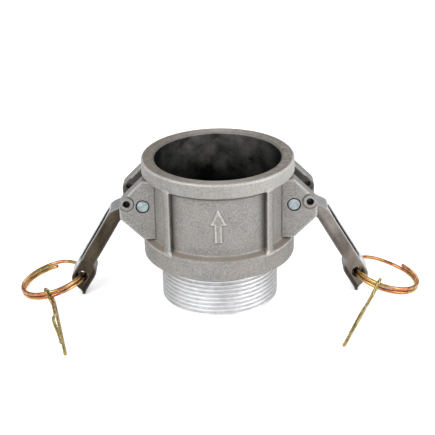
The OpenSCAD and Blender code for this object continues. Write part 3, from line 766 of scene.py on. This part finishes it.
def wire_mesh(path, radius, around=20, round_end=5):
    """A round wire along a path: at each point a circle of the given radius, square to the path's
    direction, with both ends rounded off. The path never runs along Z."""
    way = np.gradient(path, axis=0)
    way /= np.linalg.norm(way, axis=1)[:, None]
    first, last = way[0], way[-1]
    a = np.radians(np.linspace(90, 0, round_end, endpoint=False))[1:]
    lead = path[0] + (1 - np.sin(a))[:, None] * first * radius
    tail = path[-1] - (1 - np.sin(a))[::-1, None] * last * radius
    along = np.concatenate([[0], np.cumsum(np.linalg.norm(np.diff(path, axis=0), axis=1))])
    inner = (along > radius) & (along < along[-1] - radius)
    size = radius * np.concatenate([np.cos(a), np.ones(inner.sum() + 2), np.cos(a)[::-1]])
    middle = np.vstack([lead, path[0] + first * radius, path[inner], path[-1] - last * radius, tail])
    way = np.vstack([np.repeat([first], len(a) + 1, 0), way[inner], np.repeat([last], len(a) + 1, 0)])
    across = np.cross(way, (0, 0, 1))
    across /= np.linalg.norm(across, axis=1)[:, None]
    over = np.cross(across, way)
    b = np.linspace(0, 2 * math.pi, around, endpoint=False)[None, :, None]
    circle = np.cos(b) * across[:, None] + np.sin(b) * over[:, None]
    grid = middle[:, None] + size[:, None, None] * circle
    point = radius * (1 - math.sin(a[0]))
    ends = [middle[0] - first * point, middle[-1] + last * point]
    return np.vstack([grid.reshape(-1, 3), ends]), tube_faces(len(middle), around)[:, [0, 2, 1]]


def ring_place(p, side):
    """From the ring's own frame, with the arm's hole at the origin and its centre on +X, to its place on
    the left or right arm."""
    x = RING_AT_X + p[..., 0] * math.cos(RING_SLOPE) + p[..., 2] * math.sin(RING_SLOPE)
    z = RING_AT_Z - p[..., 0] * math.sin(RING_SLOPE) + p[..., 2] * math.cos(RING_SLOPE)
    return np.stack([x if side == "right" else -x, p[..., 1], z], -1)


def ring_path(start, way, n=260):
    """The coil's middle line: round at the ring's radius, on one level, with a smooth step of one wire to
    the next level where it is single."""
    end = start + 360 * RING_TURNS
    t = np.linspace(start, end, n)
    a0, a1 = max(end - 360, math.degrees(math.asin(ARM_HALF / RING_R))) + 4, start + 356
    q = np.clip((t - a0) / (a1 - a0), 0, 1)
    level = way * RING_PITCH * (q * q * (3 - 2 * q) - 0.5)
    a = np.radians(t)
    return np.stack([RING_R - RING_R * np.cos(a) - RING_SAG / 2, RING_R * np.sin(a), level], 1)


def yellow_chromate(name, hues, dull):
    """Yellow chromate over zinc: the film's thickness drifts along the wire, so its colour runs through
    gold, rose and green."""
    m = Finish(name)
    film = m.plus(m.noise(10, 3, 0.6, warp=0.6), m.times(m.noise(3.5, 2), 0.28))
    colour = m.spectrum(m.plus(film, -0.14), hues)
    colour = m.tint(m.ramp(m.noise(2.6, 3, 0.5), 0.48, 0.8, 0, 0.4), colour, dull)
    bump = m.relief(m.noise(0.5, 3), 0.02, 0.5)
    return m.done(colour, m.ramp(m.noise(1.5, 3), 0.3, 0.7, 0.20, 0.38), 1.0, bump)


ring_finish = yellow_chromate("yellow_chromate_ring", RING_HUES, RING_DULL)
for side, start, way in (("left", -270, 1), ("right", -233, -1)):
    points, faces = wire_mesh(ring_path(start, way), WIRE_SHARE * RING_WIRE)
    piece_of(side + "_ring", ring_place(points, side), faces if side == "right" else faces[:, ::-1],
             ring_finish, side + "_ring", side + "_pull_ring")

# ---- Safety clips ---------------------------------------------------------
# Hairpin clips bent from chromated spring wire. The eye is looped round both
# turns of the pull ring; the straight leg's tip lies on the ground.

CLIP_WIRE, CLIP_EYE, CLIP_LEN, CLIP_THROAT = 0.9, 4.3, 52.0, 2.3
CLIP_BOW, CLIP_FLARE = 3.8, 4.6
CLIP_HUES = [(0.22, (0.13, 0.13, 0.04)), (0.40, (0.28, 0.22, 0.07)), (0.52, (0.42, 0.34, 0.13)),
             (0.62, (0.30, 0.17, 0.07)), (0.80, (0.16, 0.18, 0.06))]
CLIP_DULL = (0.08, 0.055, 0.03)


def clip_path():
    """Middle line of the flat hairpin: a straight leg, a round eye, and a leg that crosses to the straight
    one, bows out once and flares at its tip."""
    k = np.linspace(0, 1, 20)[:, None]
    leg = np.hstack([np.full((20, 1), -CLIP_EYE), -CLIP_LEN + k * CLIP_LEN, np.zeros((20, 1))])
    a = np.radians(np.linspace(176, -30, 44))
    eye = np.stack([CLIP_EYE * np.cos(a), CLIP_EYE * np.sin(a), 0 * a], 1)
    y = np.linspace(-CLIP_EYE * 0.98, -CLIP_LEN * 0.86, 60)
    s = -y / CLIP_LEN
    bow = CLIP_THROAT + CLIP_BOW * np.sin(np.pi * np.clip((s - 0.28) / 0.5, 0, 1)) ** 2
    bow += CLIP_FLARE * (np.maximum(0, s - 0.82) / 0.18) ** 1.5
    path = np.vstack([leg, eye, np.stack([-CLIP_EYE + bow, y, 0 * y], 1)])
    for _ in range(6):
        path[1:-1] = 0.25 * path[:-2] + 0.5 * path[1:-1] + 0.25 * path[2:]
    return path


def turn(points, axis, angle):
    """Points turned about X, Y or Z by an angle in radians."""
    return points @ np.array(Matrix.Rotation(angle, 3, axis)).T


def clip_mesh(side, at, turned_in, roll):
    """The hairpin in its place: rolled, turned, dropped until its straight leg's tip meets the ground, and
    hung on the ring at an angle round it."""
    at, turned_in, roll = math.radians(at), math.radians(turned_in), math.radians(roll)
    hung = np.array([RING_R - RING_R * math.cos(at) - RING_SAG / 2, RING_R * math.sin(at), 0])
    drop = CLIP_EYE - CLIP_WIRE - RING_PITCH / 2 - RING_WIRE - 0.3
    yaw = -at - math.radians(90)
    slope_sin, slope_cos = math.sin(RING_SLOPE), math.cos(RING_SLOPE)
    rise = math.cos(yaw) * slope_sin
    eye_z = RING_AT_Z - hung[0] * slope_sin - drop * slope_cos
    eye_z += CLIP_EYE * (math.cos(roll) * rise - math.sin(roll) * slope_cos)
    lean = math.cos(at) * slope_sin
    k = ((CLIP_WIRE + 0.3 - eye_z) / CLIP_LEN - math.sin(turned_in) * rise) / math.cos(turned_in)
    fall = math.acos(k / math.hypot(lean, slope_cos)) - math.atan2(slope_cos, lean)
    points, faces = wire_mesh(clip_path(), WIRE_SHARE * CLIP_WIRE, 16)
    for axis, angle in (("Y", -roll), ("Z", -turned_in), ("X", fall), ("Z", yaw)):
        points = turn(points, axis, angle)
    points = ring_place(points + hung - np.array([0, 0, drop]), side)
    return points, faces if side == "right" else faces[:, ::-1]


clip_finish = yellow_chromate("yellow_chromate_clip", CLIP_HUES, CLIP_DULL)
for side, at, turned_in, roll in (("left", -92, 14, 78), ("right", -67, -2, 84)):
    points, faces = clip_mesh(side, at, turned_in, roll)
    piece_of(side + "_clip", points, faces, clip_finish, side + "_clip", side + "_safety_clip")

# ---- Floor, light and camera ----------------------------------------------
# A plain white table top, a pale surround that is brighter at the sides and
# above, and three large soft lamps.

TABLE_HALF = 4.0
TABLE_WHITE, TABLE_PALE, TABLE_GLOW = (0.90, 0.90, 0.90), (0.93, 0.93, 0.93), 0.42
SURROUND = (0.97, 0.985, 1.0)
MIDDLE = (0, 0, 0.04)


def table_top():
    """One flat square, white and faintly cloudy, that glows a little so that shadows stay pale."""
    mesh = bpy.data.meshes.new("table_top")
    s = TABLE_HALF
    mesh.from_pydata([(-s, -s, 0), (s, -s, 0), (s, s, 0), (-s, s, 0)], [], [(0, 1, 2, 3)])
    m = Finish("white_table")
    cloudy = m.tint(m.ramp(m.noise(400, 2), 0.3, 0.7), TABLE_WHITE, TABLE_PALE)
    mesh.materials.append(m.done(cloudy, 0.8, 0.0))
    m.feed(m.shader.inputs["Emission Color"], (1, 1, 1))
    m.feed(m.shader.inputs["Emission Strength"], TABLE_GLOW)
    floor = bpy.data.objects.new("table_top", mesh)
    scene.collection.objects.link(floor)


def studio_surround():
    """A world whose strength rises from the middle to both sides, and from the horizon up."""
    world = bpy.data.worlds.new("studio")
    scene.world = world
    world.use_nodes = True
    nodes, links = world.node_tree.nodes, world.node_tree.links
    split = nodes.new("ShaderNodeSeparateXYZ")
    links.new(nodes.new("ShaderNodeTexCoord").outputs["Generated"], split.inputs[0])
    aside, total = nodes.new("ShaderNodeMath"), nodes.new("ShaderNodeMath")
    aside.operation, total.operation = "ABSOLUTE", "ADD"
    links.new(split.outputs[0], aside.inputs[0])
    ramps = ((aside.outputs[0], 0.35, 0.95, 0.12, 0.80), (split.outputs[2], 0.10, 0.8, 0.05, 0.42))
    for part, (source, low, high, dim, lit) in zip(total.inputs, ramps):
        ramp = nodes.new("ShaderNodeMapRange")
        for key, value in (("From Min", low), ("From Max", high), ("To Min", dim), ("To Max", lit)):
            ramp.inputs[key].default_value = value
        links.new(source, ramp.inputs["Value"])
        links.new(ramp.outputs[0], part)
    links.new(total.outputs[0], nodes["Background"].inputs["Strength"])
    nodes["Background"].inputs["Color"].default_value = SURROUND + (1,)


def lamp(name, place, power, width=0.6):
    """A square soft lamp at a place, turned to face the coupler's middle."""
    light = bpy.data.lights.new(name, "AREA")
    light.size, light.energy = width, power
    obj = bpy.data.objects.new(name, light)
    obj.location = place
    way = np.array(MIDDLE) - np.array(place)
    tilt, heading = math.atan2(math.hypot(way[0], way[1]), -way[2]), math.atan2(way[1], way[0]) - math.pi / 2
    obj.rotation_euler = Euler((tilt, 0, heading))
    scene.collection.objects.link(obj)


scene = bpy.context.scene
scene.view_settings.view_transform = "Standard"
table_top()
studio_surround()
lamp("key", (-0.50, -0.65, 0.70), 7)
lamp("fill", (0.80, -0.45, 0.45), 6)
lamp("back", (0.1, 0.8, 0.7), 3)

# A long lens from the front, looking down by 25 degrees and rolled by one
camera = bpy.data.objects.new("camera", bpy.data.cameras.new("camera"))
camera.data.sensor_width = 36
camera.data.lens = 101.99
camera.data.clip_start = 0.01
camera.location = (0.004357, -0.569379, 0.304547)
aimed = Euler((math.radians(90 - 24.872), 0, math.radians(0.503))).to_matrix()
camera.rotation_euler = (aimed @ Matrix.Rotation(math.radians(-1.0855), 3, "Z")).to_euler()
scene.collection.objects.link(camera)
scene.camera = camera
